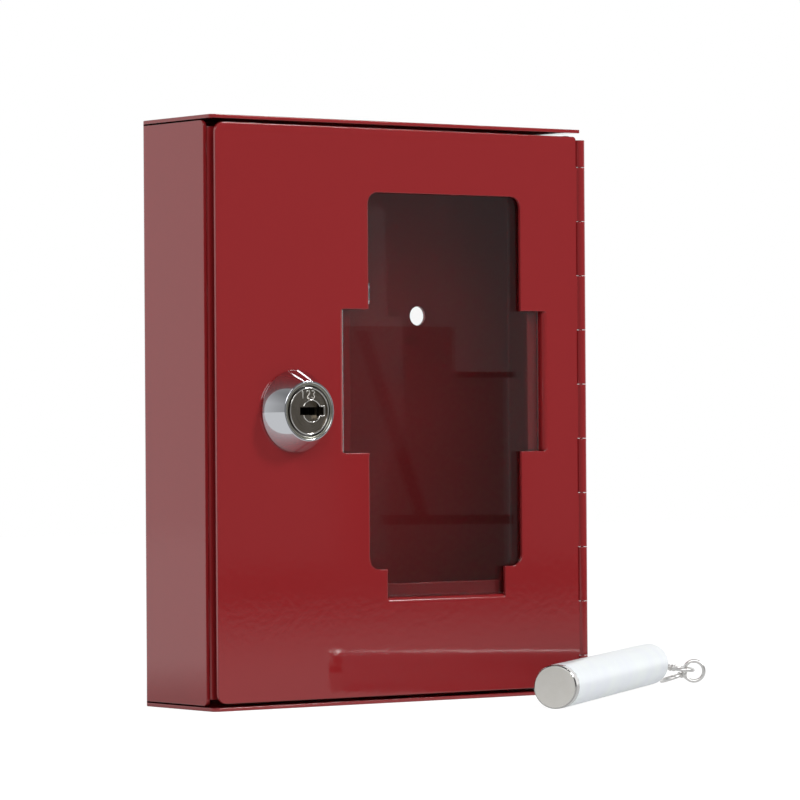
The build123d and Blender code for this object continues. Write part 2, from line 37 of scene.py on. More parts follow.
MM = 0.001
WELD = 1e-7                    # in metres; points nearer to each other than this become one
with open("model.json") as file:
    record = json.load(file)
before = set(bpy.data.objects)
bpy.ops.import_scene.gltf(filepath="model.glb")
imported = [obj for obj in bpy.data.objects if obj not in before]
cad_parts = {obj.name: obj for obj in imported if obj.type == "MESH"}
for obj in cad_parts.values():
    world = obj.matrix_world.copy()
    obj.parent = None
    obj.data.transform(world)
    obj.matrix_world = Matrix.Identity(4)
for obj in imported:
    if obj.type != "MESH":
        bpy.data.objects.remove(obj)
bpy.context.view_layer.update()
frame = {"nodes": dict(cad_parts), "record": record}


# ---- places and sizes ------------------------------------------------------------------------------------

def box_mm(node):
    """Lowest and highest corners of a CAD node at rest, in millimetres."""
    return [np.array(corner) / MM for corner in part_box(node)]


right = np.array([1.0, 0.0, 0.0])
inward = np.array([0.0, 1.0, 0.0])     # from the door's front towards the wall
up = np.array([0.0, 0.0, 1.0])

joints = {joint["name"]: joint for joint in frame["record"]["behaviour"]["joints"]}
lock_middle = np.array(joints["lock_turn"]["pos_m"]) / MM      # on the lock's axis, at the door's front face
floor_z = box_mm("case_shell")[0][2]

corner_steps = 6               # points on each rounded corner of an outline

# Lock, bezel and barrel: radii from the lock's axis, and depths behind the door's front face.
lock_front = -6.5              # the bezel's foremost face
bore_radius = 4.85
recess_radius = 6.5
recess_floor = -5.2
satin_radius = 7.1             # the satin ring ends here and the bright rim begins
satin_sink = 0.1               # how far the satin ring lies behind the rim
rim_slope = 0.12               # width of the step up to the rim
bezel_front_radius = 7.6
bezel_base_radius = 10.45
bezel_skirt = 0.7              # straight band between the cone and the door
bezel_rounding = 0.22
barrel_radius = 8.0
barrel_half_width = 6.75       # from the axis to each of the barrel's flats
barrel_end = 10.5
flats_start = 0.5              # the flats clip the barrel from here on
neck_end = 1.0                 # the barrel's outline goes straight to here
thread_start = 1.5             # and its thread is cut from here on
thread_pitch = 1.0
thread_depth = 0.3
rings_per_pitch = 8
stop_width = 2.0
stop_low = 5.8                 # the stop's edges, above the axis
stop_high = 7.5
stop_depth = 1.0
stop_sink = 0.05               # how far the stop's foot goes into the barrel

# Lock, plug: the rims and the number that stand on its face.
plug_face = -6.15
plug_rim_radius = 5.85
plug_rim_depth = -6.25
plug_rim_bead = 0.25
bead_points = 17
keyway_shift = 0.95            # the key's recess lies that far right of the axis
keyway_half_height = 1.0
keyway_end = 4.55
collar_radius = 2.8            # the rim round the recess
collar_wire = 0.17
collar_clearance = 4.0         # degrees left open beside the keyway
notch_gap = 0.25               # from the keyway to the rim above and below it
notch_end_gap = 0.35
notch_rounding = 0.35
digit_width = 1.05
digit_height = 2.0
digit_step = 1.65
digit_wire = 0.16
digit_rounding = 0.4
number_base = 3.2              # the digits' foot, above the axis
number_shift = -0.2

# Striker: distances go along its axis from the middle of its bare end.
striker_turn = math.radians(37.7)      # from +X towards the wall
striker_radius = 5.6
striker_length = 108.8
striker_edge = 0.4             # bevel of the bare end
band_sink = 0.05               # how far the bare band lies below the sleeve
band_end = 3.6
band_rounding = 0.15
core_radius = 4.7
core_lead = 2.0                # the core's outline starts that far behind the band
core_end = 106.75
face_rows = 4                  # rows of the bar's outline that are its faced end
sleeve_gap = 0.05              # between the bare band and the sleeve's front end
sleeve_fit = 0.05              # air between the core and the sleeve
sleeve_seam = 20.0             # where the sleeve's outline starts and ends, on its inside
sleeve_front_lead = 5.0        # its side begins that far behind its front end
sleeve_back_lead = 10.0        # and ends that far before its back end
sleeve_edge = 0.25
sleeve_round = 3.0             # rounding of its back end
sleeve_cap = 2.0               # thickness of its closed back end
eye_wire = 0.52
eye_radius = 2.8
eye_shank = 7.0
eye_gap = 0.5                  # from the sleeve's end to the ring's wire
eye_hole_gap = 0.1
eye_points = 64
shank_points = 12

# Chain, with each link's heading and tilt in degrees.
link_wire = 0.50
loop_radius = 2.75
loop_offset = 3.3              # from the knot's middle to each loop's middle
loop_points = 48
leg_points = 10
knot_turns = 2.25
knot_length = 2.2
knot_radius = 0.5
knot_points = 60
knot_thinning = 0.9            # the knot's wire as a share of the link's
link_1_heading, link_1_tilt = -55.3, -5.5
link_2_heading, link_2_tilt = -38.2, 17.0
link_2_from_link_1 = np.array([1.33, -3.03, -1.80])

striker_dir = np.array([math.cos(striker_turn), math.sin(striker_turn), 0.0])
striker_side = np.array([math.sin(striker_turn), -math.cos(striker_turn), 0.0])
rod_low = box_mm("hammer_rod")[0]
striker_start = np.array([
    rod_low[0] + (striker_radius - striker_edge) * striker_side[0],
    rod_low[1] - striker_radius * striker_side[1] - striker_edge * striker_dir[1],
    floor_z + striker_radius,
])


# ---- helpers for shapes ------------------------------------------------------------------------------------

def show(name, surface, materials, body, node=None, band_starts=(), smooth=True):
    """Makes a closed mesh from points and quads in mm; it rides on a body and may stand for a CAD node.

    materials is one material, or several with band_starts saying at which row of quads each later one begins.
    """
    points, faces, row_length = surface
    mesh = bpy.data.meshes.new(name)
    mesh.from_pydata((np.asarray(points) * MM).tolist(), [], np.asarray(faces).tolist())
    materials = materials if isinstance(materials, (list, tuple)) else [materials]
    for material in materials:
        mesh.materials.append(material)
    rows = np.arange(len(faces)) // row_length
    bands = np.searchsorted(band_starts, rows, side="right").astype(np.int32)
    mesh.polygons.foreach_set("material_index", bands)
    skin = bmesh.new()
    skin.from_mesh(mesh)
    bmesh.ops.remove_doubles(skin, verts=skin.verts, dist=WELD)
    bmesh.ops.recalc_face_normals(skin, faces=skin.faces)
    skin.to_mesh(mesh)
    skin.free()
    mesh.polygons.foreach_set("use_smooth", [smooth] * len(mesh.polygons))
    mesh.update()
    piece = bpy.data.objects.new(name, mesh)
    bpy.context.scene.collection.objects.link(piece)
    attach(piece, body)
    if node:
        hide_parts(node)
    return piece


def grid_faces(rows, columns, wrap_rows=False, wrap_columns=False):
    """Quads over a grid of points stored row by row, closed round either way if asked."""
    row, column = np.meshgrid(
        np.arange(rows if wrap_rows else rows - 1),
        np.arange(columns if wrap_columns else columns - 1), indexing="ij")
    next_row, next_column = (row + 1) % rows, (column + 1) % columns
    corners = [(row, column), (row, next_column), (next_row, next_column), (next_row, column)]
    return np.stack([a * columns + b for a, b in corners], axis=-1).reshape(-1, 4)


def rounded(outline, radius, steps=corner_steps):
    """A polyline whose inner corners are replaced by arcs of up to the given radius, tangent to both runs.

    An arc's points turn evenly about its middle from one run to the other: each is sin((1 - t) * turn) of the
    first spoke plus sin(t * turn) of the last, over sin(turn).
    """
    longest = 0.45                 # share of a run that an arc may take
    points = [np.array(p, float) for p in outline]
    out = [points[0]]
    for before, corner, after in zip(points, points[1:], points[2:]):
        back, ahead = before - corner, after - corner
        back_run, ahead_run = np.linalg.norm(back), np.linalg.norm(ahead)
        back, ahead = back / back_run, ahead / ahead_run
        half = math.acos(np.clip(back @ ahead, -1, 1)) / 2
        cut = min(radius / math.tan(half), longest * back_run, longest * ahead_run)
        bend = cut * math.tan(half)
        middle = corner + (back + ahead) / np.linalg.norm(back + ahead) * bend / math.sin(half)
        start, end = corner + back * cut - middle, corner + ahead * cut - middle
        turn = math.acos(np.clip(start @ end / bend ** 2, -1, 1))
        for t in np.linspace(0, 1, steps):
            spoke = (math.sin((1 - t) * turn) * start + math.sin(t * turn) * end) / math.sin(turn)
            out.append(middle + spoke)
    out.append(points[-1])
    return np.array(out)


def turned(outline, origin, axis, steps=128):
    """A surface of revolution about a level axis of unit length: each outline point (radius, distance) goes
    round as origin + distance * axis + radius * (cos a * u + sin a * v), with u and v square to the axis.
    """
    u = np.cross(axis, up)
    u /= np.linalg.norm(u)
    v = np.cross(axis, u)
    angle = np.linspace(0, 2 * math.pi, steps, endpoint=False)
    ring = np.cos(angle)[:, None] * u + np.sin(angle)[:, None] * v
    outline = np.asarray(outline)
    points = np.array(origin) + outline[:, 1, None, None] * axis + outline[:, 0, None, None] * ring[None]
    return points.reshape(-1, 3), grid_faces(len(outline), steps, wrap_columns=True), steps


def wire_along(path, radius, closed=False, steps=16):
    """A round wire along a path: at each point a circle square to the path, carried on without twisting.

    An open wire's ends are closed by a last circle of no radius. On a closed path the leftover turn of the
    carried circle is shared out evenly, so that the last circle meets the first.
    """
    off_path = (0.3, 0.2, 0.93)    # a direction that no path here starts in
    path = np.asarray(path, float)
    ahead = np.roll(path, -1, axis=0) - np.roll(path, 1, axis=0) if closed else np.gradient(path, axis=0)
    ahead /= np.linalg.norm(ahead, axis=1)[:, None]
    side = np.cross(ahead[0], off_path)
    sides = []
    for direction in ahead:
        side = side - direction * (side @ direction)
        side = side / np.linalg.norm(side)
        sides.append(side)
    sides = np.array(sides)
    others = np.cross(ahead, sides)
    if closed:
        lag = math.atan2(sides[0] @ others[-1], sides[0] @ sides[-1])
        share = np.linspace(0, 1, len(path), endpoint=False)[:, None] * lag
        eased = sides * np.cos(share) + others * np.sin(share)
        others = others * np.cos(share) - sides * np.sin(share)
        sides = eased
    widths = np.full(len(path), float(radius))
    if not closed:
        path = np.concatenate([path[:1], path, path[-1:]])
        sides = np.concatenate([sides[:1], sides, sides[-1:]])
        others = np.concatenate([others[:1], others, others[-1:]])
        widths = np.concatenate([[0.0], widths, [0.0]])
    angle = np.linspace(0, 2 * math.pi, steps, endpoint=False)
    ring = np.cos(angle)[None, :, None] * sides[:, None] + np.sin(angle)[None, :, None] * others[:, None]
    points = (path[:, None] + widths[:, None, None] * ring).reshape(-1, 3)
    return points, grid_faces(len(path), steps, wrap_rows=closed, wrap_columns=True), steps


def arc(middle, radius, start, end, across, aloft, steps=40):
    """Points along an arc: middle + radius * (cos a * across + sin a * aloft), with a in degrees."""
    angle = np.radians(np.linspace(start, end, steps))[:, None]
    return np.asarray(middle) + radius * (np.cos(angle) * across + np.sin(angle) * aloft)


def joined(*surfaces):
    """Several surfaces as one."""
    points, faces, shift = [], [], 0
    for surface_points, surface_faces, _ in surfaces:
        points.append(surface_points)
        faces.append(surface_faces + shift)
        shift += len(surface_points)
    return np.concatenate(points), np.concatenate(faces), 1


# ---- helpers for materials ---------------------------------------------------------------------------------

def linear(hex_colour):
    """A colour written as sRGB hex, as the linear values the shaders work in."""
    channels = [int(hex_colour[i:i + 2], 16) / 255 for i in (1, 3, 5)]
    return [c / 12.92 if c <= 0.04045 else ((c + 0.055) / 1.055) ** 2.4 for c in channels] + [1.0]


def add(tree, kind, inputs=None, **settings):
    """Adds a node; inputs are values or sockets by name or number, settings are the node's own properties."""
    node = tree.nodes.new(kind)
    for key, value in settings.items():
        setattr(node, key, value)
    for key, value in (inputs or {}).items():
        if isinstance(value, bpy.types.NodeSocket):
            tree.links.new(value, node.inputs[key])
        else:
            node.inputs[key].default_value = value
    return node


def emptied_tree(owner):
    """The node tree of a material or a world, with no nodes in it."""
    owner.use_nodes = True
    owner.node_tree.nodes.clear()
    return owner.node_tree


def new_material(name, **shader_values):
    """A material with a Principled shader alone, whose own sockets take the values given."""
    material = bpy.data.materials.new(name)
    tree = emptied_tree(material)
    shader = add(tree, "ShaderNodeBsdfPrincipled")
    add(tree, "ShaderNodeOutputMaterial", {"Surface": shader.outputs[0]})
    for socket, value in shader_values.items():
        shader.inputs[socket.replace("_", " ")].default_value = value
    return material, tree, shader


# ---- materials ---------------------------------------------------------------------------------------------

def powder_coat():
    """Polyester powder coat, sprayed and baked on sheet steel: glossy, with a faint orange peel that breaks
    up what it mirrors, a slow drift of gloss, and a round build-up over every cut edge."""
    peel_mm, peel_relief_mm, drift_mm, edge_mm = 1.613, 0.024, 25.0, 0.4
    material, tree, shader = new_material("red powder coat", Base_Color=linear("#851E21"), IOR=1.56)
    place = add(tree, "ShaderNodeTexCoord").outputs["Object"]
    peel = add(tree, "ShaderNodeTexNoise", {
        "Vector": place, "Scale": 1 / (peel_mm * MM), "Detail": 1.5, "Roughness": 0.45})
    drift = add(tree, "ShaderNodeTexNoise", {"Vector": place, "Scale": 1 / (drift_mm * MM), "Detail": 2.0})
    edge = add(tree, "ShaderNodeBevel", {"Radius": edge_mm * MM}, samples=6)
    bump = add(tree, "ShaderNodeBump", {
        "Strength": 0.5, "Distance": peel_relief_mm * MM,
        "Height": peel.outputs[0], "Normal": edge.outputs[0]})
    gloss = add(tree, "ShaderNodeMapRange", {"Value": drift.outputs[0], "To Min": 0.045, "To Max": 0.075})
    tree.links.new(gloss.outputs[0], shader.inputs["Roughness"])
    tree.links.new(bump.outputs[0], shader.inputs["Normal"])
    return material


def worked(name, colour, rough, grain_mm, relief_mm, edge_mm=0.0):
    """Metal of one colour, with uneven gloss and a fine relief whose grains have a real size. Where a piece
    is stamped or turned sharp, a small radius breaks its edges."""
    least, most = rough * 0.8, rough * 1.2
    material, tree, shader = new_material(name, Base_Color=linear(colour), Metallic=1.0)
    place = add(tree, "ShaderNodeTexCoord").outputs["Object"]
    grain = add(tree, "ShaderNodeTexNoise", {"Vector": place, "Scale": 1 / (grain_mm * MM), "Detail": 3.0})
    gloss = add(tree, "ShaderNodeMapRange", {"Value": grain.outputs[0], "To Min": least, "To Max": most})
    bump = add(tree, "ShaderNodeBump", {
        "Strength": 0.3, "Distance": relief_mm * MM, "Height": grain.outputs[0]})
    if edge_mm:
        edge = add(tree, "ShaderNodeBevel", {"Radius": edge_mm * MM}, samples=4)
        tree.links.new(edge.outputs[0], bump.inputs["Normal"])
    tree.links.new(gloss.outputs[0], shader.inputs["Roughness"])
    tree.links.new(bump.outputs[0], shader.inputs["Normal"])
    return material


def faced(name, colours, rough, groove_mm, relief_mm, middle, across):
    """Metal faced on a lathe: fine grooves in circles round an axis, under stains between two colours. The
    grooves' noise runs on the distance from that axis alone, so that each circle keeps its own height."""
    stain_mm = 2.38
    least, most = rough * 0.75, rough * 1.25
    material, tree, shader = new_material(name, Metallic=1.0)
    place = add(tree, "ShaderNodeTexCoord").outputs["Object"]
    offset = add(tree, "ShaderNodeVectorMath", {0: place, 1: (middle * MM).tolist()}, operation="SUBTRACT")
    flat = add(tree, "ShaderNodeVectorMath", {0: offset.outputs[0], 1: across}, operation="MULTIPLY")
    radius = add(tree, "ShaderNodeVectorMath", {0: flat.outputs[0]}, operation="LENGTH")
    circles = add(tree, "ShaderNodeTexNoise", {
        "W": radius.outputs["Value"], "Scale": 1 / (groove_mm * MM), "Detail": 2.0}, noise_dimensions="1D")
    stain = add(tree, "ShaderNodeTexNoise", {"Vector": place, "Scale": 1 / (stain_mm * MM), "Detail": 3.0})
    shade = add(tree, "ShaderNodeMix", {
        0: stain.outputs[0], 6: linear(colours[0]), 7: linear(colours[1])}, data_type="RGBA")
    gloss = add(tree, "ShaderNodeMapRange", {"Value": circles.outputs[0], "To Min": least, "To Max": most})
    bump = add(tree, "ShaderNodeBump", {
        "Strength": 0.5, "Distance": relief_mm * MM, "Height": circles.outputs[0]})
    tree.links.new(shade.outputs[2], shader.inputs["Base Color"])
    tree.links.new(gloss.outputs[0], shader.inputs["Roughness"])
    tree.links.new(bump.outputs[0], shader.inputs["Normal"])
    return material


def vinyl():
    """Heat-shrunk white vinyl: even and half glossy, drifting slowly from greenish to bluish white."""
    drift_mm = 11.1
    material, tree, shader = new_material("heat-shrunk white vinyl", Roughness=0.3)
    place = add(tree, "ShaderNodeTexCoord").outputs["Object"]
    drift = add(tree, "ShaderNodeTexNoise", {"Vector": place, "Scale": 1 / (drift_mm * MM), "Detail": 2.0})
    tone = add(tree, "ShaderNodeMix", {
        0: drift.outputs[0], 6: linear("#E6EEE8"), 7: linear("#DADDEA")}, data_type="RGBA")
    tree.links.new(tone.outputs[2], shader.inputs["Base Color"])
    return material


coat = powder_coat()

# Float glass: clear, flat and smooth, so that the inside of the case shows under a thin mirror of the room.
glass = new_material(
    "float glass", Base_Color=linear("#FFFFFF"), Roughness=0.0, IOR=1.52, Transmission_Weight=1.0)[0]

# Bright chrome on a zinc casting: a near mirror, with the slow waviness of the casting under the plate.
chrome = worked("bright chrome plate on cast zinc", "#D9DBE0", rough=0.05, grain_mm=1.2, relief_mm=0.002)

# The ring on the bezel's front, blasted before it was plated: warm grey, with a soft even shine.
satin = worked("satin chrome ring", "#A5A498", rough=0.30, grain_mm=0.25, relief_mm=0.004)

# Polished nickel on the thin rims of the plug: narrow bright glints.
rim_metal = worked("polished nickel rim", "#DEDCD8", rough=0.10, grain_mm=0.8, relief_mm=0.002)

# The number's strokes, raised by the stamp out of the faced metal: lighter than it, and dull.
number_metal = worked("raised satin numbers", "#CDCAC4", rough=0.45, grain_mm=0.3, relief_mm=0.002)

# The plug's face, turned on a lathe and nickel plated: circles round the lock's axis, stained by handling.
plug_metal = faced(
    "faced nickel plug", ("#9A928A", "#6F6A5C"), rough=0.30, groove_mm=0.12, relief_mm=0.012,
    middle=lock_middle, across=(1, 0, 1))

# The bar's end, faced on a lathe: pale and half dull. Its grooves are drawn wider than the tool leaves them,
# so that they show.
bar_end = faced(
    "faced steel bar end", ("#F0EEE9", "#E6E3DC"), rough=0.42, groove_mm=0.35, relief_mm=0.004,
    middle=striker_start, across=(1, 1, 1))

# The same bar's drawn and polished side: smooth, with a narrow shine.
bar_rim = worked("polished steel bar", "#B9B8B6", rough=0.16, grain_mm=2.0, relief_mm=0.0002)

# Zinc plate on stamped and turned steel: pale grey, with a soft shine and slightly rounded edges.
zinc = worked("bright zinc plate", "#C3C6C8", rough=0.26, grain_mm=1.4, relief_mm=0.004, edge_mm=0.12)

# Stamped brass that grease and age have darkened: dull brown.
wafer_metal = worked(
    "stamped brass, darkened", "#4A463D", rough=0.35, grain_mm=0.8, relief_mm=0.004, edge_mm=0.05)

# Spring wire, drawn and left bare: mid grey with a soft shine.
spring_wire = worked("drawn spring wire", "#8D8E90", rough=0.3, grain_mm=0.6, relief_mm=0.003)

# A rivet of bare aluminium: pale, and a little dull where it was set.
rivet_alloy = worked(
    "bare aluminium rivet", "#C9CACB", rough=0.32, grain_mm=0.9, relief_mm=0.004, edge_mm=0.1)

sleeve_vinyl = vinyl()

# Nickel on soft steel wire: pale, with the uneven shine of wire that was bent after plating.
nickel = worked("nickel-plated wire", "#E3E2E0", rough=0.32, grain_mm=0.5, relief_mm=0.003)

finishes = {
    "case_shell": coat,
    "latch_strip": coat,
    "door_panel": coat,
    "hinge_pin": coat,
    "glass_pane": glass,
    "lock_nut": zinc,
    "lock_plug": plug_metal,
    "lock_wafers": wafer_metal,
    "wafer_springs": spring_wire,
    "lock_stop_washer": zinc,
    "lock_cam": zinc,
    "cam_screw": zinc,
    "key_hook": zinc,
    "hook_rivet": rivet_alloy,
}
for node, finish in finishes.items():
    slots = frame["nodes"][node].data.materials
    for i in range(len(slots)):
        slots[i] = finish


# ---- lock --------------------------------------------------------------------------------------------------

def lock_point(across, height, depth):
    """A place on the lock in mm, measured from its axis on the door's front face."""
    return lock_middle + np.array([across, depth, height])


def bezel_surface():
    """The housing turned round the lock's axis, with the rows at which its satin ring and its rim begin.

    The outline runs up the bore, over the recess, the ring, the rim and the cone, and back along the barrel.
    The thread's depth is a saw tooth of the distance along it, and the barrel's two flats clip its width.
    """
    satin_face = lock_front + satin_sink
    front = rounded([
        (bore_radius, 0), (bore_radius, recess_floor), (recess_radius, recess_floor),
        (recess_radius, satin_face), (satin_radius, satin_face), (satin_radius + rim_slope, lock_front),
        (bezel_front_radius, lock_front), (bezel_base_radius, -bezel_skirt), (bezel_base_radius, 0),
        (barrel_radius, 0), (barrel_radius, neck_end)], bezel_rounding)
    depths = np.arange(neck_end, barrel_end, thread_pitch / rings_per_pitch)
    tooth = np.abs((depths / thread_pitch) % 1 - 0.5) * 2
    thread = np.stack([barrel_radius - thread_depth * tooth * (depths > thread_start), depths], axis=1)
    back = [(barrel_radius - thread_depth, barrel_end), (bore_radius, barrel_end), (bore_radius, 0)]
    points, faces, row_length = turned(np.concatenate([front, thread, back]), lock_middle, inward)
    behind = points[:, 1] > lock_middle[1] + flats_start
    width = np.clip(points[:, 0] - lock_middle[0], -barrel_half_width, barrel_half_width)
    points[behind, 0] = lock_middle[0] + width[behind]
    satin_start = 2 * corner_steps + 2     # two rounded corners on, just inside the ring's inner edge
    rim_start = 4 * corner_steps + 1       # four on, at the top of the step up to the rim
    return (points, faces, row_length), (satin_start, rim_start)


def plug_rim_surface():
    """A bead turned round the lock's axis: its outline is a circle of points."""
    angles = np.linspace(0, 2 * math.pi, bead_points)
    bead = [(plug_rim_radius + plug_rim_bead * math.cos(a), plug_rim_depth + plug_rim_bead * math.sin(a))
            for a in angles]
    return turned(bead, lock_middle, inward)


def key_recess_surface():
    """The raised rim of the key's recess: an arc above the keyway and one below it, and a rounded notch round
    the keyway's end, each a wire let half into the face."""
    middle = lock_point(keyway_shift, 0, plug_face)
    clear = math.degrees(math.asin(keyway_half_height / collar_radius)) + collar_clearance
    above = arc(middle, collar_radius, clear, 180 - clear, right, up)
    below = arc(middle, collar_radius, 180 + clear, 360 - clear, right, up)
    near, far = collar_radius + keyway_shift, keyway_end + notch_end_gap
    half = keyway_half_height + notch_gap
    notch = rounded([
        lock_point(near, half, plug_face), lock_point(far, half, plug_face),
        lock_point(far, -half, plug_face), lock_point(near, -half, plug_face)], notch_rounding)
    return joined(*[wire_along(path, collar_wire) for path in (above, below, notch)])


# Each digit is one stroke, drawn on a cell one wide and two high.
digit_strokes = {
    "1": [(0.15, 1.6), (0.55, 2.0), (0.55, 0.0)],
    "2": [(0.05, 1.55), (0.15, 2.0), (0.85, 2.0), (1.0, 1.3), (0.0, 0.0), (1.0, 0.0)],
    "3": [(0.05, 1.8), (0.5, 2.1), (1.0, 1.5), (0.35, 1.05), (1.0, 0.6), (0.5, -0.1), (0.0, 0.25)],
}


def number_surface():
    """The number 123 above the recess, each digit a wire that follows its stroke, let half into the face."""
    digits = []
    for place, digit in enumerate("123"):
        left = (place - 1) * digit_step - digit_width / 2 + number_shift
        line = [lock_point(left + x * digit_width, number_base + y * digit_height / 2, plug_face)
                for x, y in digit_strokes[digit]]
        digits.append(wire_along(rounded(line, digit_rounding), digit_wire, steps=10))
    return joined(*digits)


def stop_surface():
    """A block on the barrel's back end, its corners counted with x slowest and height fastest."""
    corners = [lock_point(x, z, y) for x in (-stop_width / 2, stop_width / 2)
               for y in (barrel_end - stop_sink, barrel_end + stop_depth) for z in (stop_low, stop_high)]
    faces = np.array([(0, 1, 3, 2), (4, 6, 7, 5), (0, 4, 5, 1), (2, 3, 7, 6), (0, 2, 6, 4), (1, 5, 7, 3)])
    return corners, faces, 1


housing, housing_bands = bezel_surface()
bezel = show("lock_bezel", housing, [chrome, satin, chrome], "door", "lock_housing", housing_bands)

plug_rim = show("plug_rim", plug_rim_surface(), rim_metal, "plug")

key_collar = show("key_recess_rim", key_recess_surface(), rim_metal, "plug")

number = show("stamped_number", number_surface(), number_metal, "plug")

barrel_stop = show("barrel_stop", stop_surface(), zinc, "door", smooth=False)


# ---- striker and chain -------------------------------------------------------------------------------------

def bar_surface():
    """The bar turned round its axis: a bevelled faced end, a bare band, and a thinner core in the sleeve."""
    band_radius = striker_radius - band_sink
    front = rounded([
        (0, 0), (striker_radius - striker_edge, 0), (band_radius, striker_edge), (band_radius, band_end),
        (core_radius, band_end), (core_radius, band_end + core_lead)], band_rounding)
    back = [(core_radius, core_end), (0, core_end)]
    return turned(np.concatenate([front, back]), striker_start, striker_dir)


def sleeve_surface():
    """The sleeve turned round the bar's axis: along its side from the open front end to the rounded back end,
    through the eye's hole in that end, and back along the core to where the outline starts."""
    inside_radius = core_radius + sleeve_fit
    hole_radius = eye_wire + eye_hole_gap
    front_end = band_end + sleeve_gap
    cap_inside = striker_length - sleeve_cap
    front = rounded([
        (inside_radius, sleeve_seam), (inside_radius, front_end), (striker_radius, front_end),
        (striker_radius, front_end + sleeve_front_lead)], sleeve_edge)
    back = rounded([
        (striker_radius, striker_length - sleeve_back_lead), (striker_radius, striker_length),
        (hole_radius, striker_length)], sleeve_round, steps=14)
    inside = [(hole_radius, cap_inside), (inside_radius, cap_inside), (inside_radius, sleeve_seam)]
    return turned(np.concatenate([front, back, inside]), striker_start, striker_dir, steps=160)


def eye_surface():
    """A ring of wire beyond the sleeve's end, and a straight shank that runs from it into the bar."""
    middle = striker_start + striker_dir * (striker_length + eye_gap + eye_wire + eye_radius)
    shank_end = middle - striker_dir * eye_radius
    shank = np.linspace(shank_end - striker_dir * eye_shank, shank_end, shank_points)
    last_angle = 360 * (eye_points - 1) / eye_points
    ring = arc(middle, eye_radius, 0, last_angle, striker_dir, up, eye_points)
    return joined(wire_along(shank, eye_wire), wire_along(ring, eye_wire, closed=True))


def chain_link_surface(middle, heading, tilt, twisted):
    """Two drop-shaped loops of wire and the knot between them.

    Each loop is a circle about a point on the link's line, run into two straight legs that meet at the knot.
    On a twisted link the far loop stands upright. The knot is a helix of the wire round the link's line.
    """
    rise, turn = math.radians(tilt), math.radians(heading)
    along = np.array([math.cos(rise) * math.cos(turn), math.cos(rise) * math.sin(turn), math.sin(rise)])
    level = np.array([-math.sin(turn), math.cos(turn), 0.0])
    upright = np.cross(along, level)
    half_turn = 180 - math.degrees(math.acos(loop_radius / loop_offset))
    wires = []
    for outward, side in ((-along, level), (along, upright if twisted else level)):
        loop_middle = middle + outward * loop_offset
        curve = arc(loop_middle, loop_radius, -half_turn, half_turn, outward, side, loop_points)
        leg_in = np.linspace(curve[-1], middle, leg_points)[1:-1]
        leg_out = np.linspace(middle, curve[0], leg_points)[1:-1]
        wires.append(wire_along(np.concatenate([curve, leg_in, leg_out]), link_wire, closed=True))
    angle = np.linspace(0, 2 * math.pi * knot_turns, knot_points)[:, None]
    line = middle + along * (angle - angle[-1] / 2) / angle[-1] * knot_length
    helix = line + knot_radius * (np.cos(angle) * level + np.sin(angle) * upright)
    wires.append(wire_along(helix, link_wire * knot_thinning))
    return joined(*wires)


bar = show("striker_bar", bar_surface(), [bar_end, bar_rim], "striker", "hammer_rod", (face_rows,))

sleeve = show("striker_sleeve", sleeve_surface(), sleeve_vinyl, "striker", "hammer_sleeve")

eye = show("striker_eye", eye_surface(), nickel, "striker", "hammer_eye")

link_1_low, link_1_high = box_mm("chain_link_1")
link_1_middle = (link_1_low + link_1_high) / 2
link_2_middle = link_1_middle + link_2_from_link_1
near_link = chain_link_surface(link_1_middle, link_1_heading, link_1_tilt, twisted=False)
far_link = chain_link_surface(link_2_middle, link_2_heading, link_2_tilt, twisted=True)
link_1 = show("chain_link_near", near_link, nickel, "link_1", "chain_link_1")
link_2 = show("chain_link_far", far_link, nickel, "link_2", "chain_link_2")


# ---- floor, cards, surround and lamps ----------------------------------------------------------------------

def seen_through(tree, path):
    """One where the eye looks straight through the glass, nought for light scattered inside the case, which
    has bounced at least once."""
    under_one_bounce = 0.5
    scattered = add(tree, "ShaderNodeMath", {
        0: path.outputs["Diffuse Depth"], 1: path.outputs["Glossy Depth"]}, operation="ADD")
    clear = add(tree, "ShaderNodeMath", {
        0: scattered.outputs[0], 1: under_one_bounce}, operation="LESS_THAN")
    through = add(tree, "ShaderNodeMath", {
        0: path.outputs["Is Transmission Ray"], 1: clear.outputs[0]}, operation="MULTIPLY")
    return through.outputs[0]


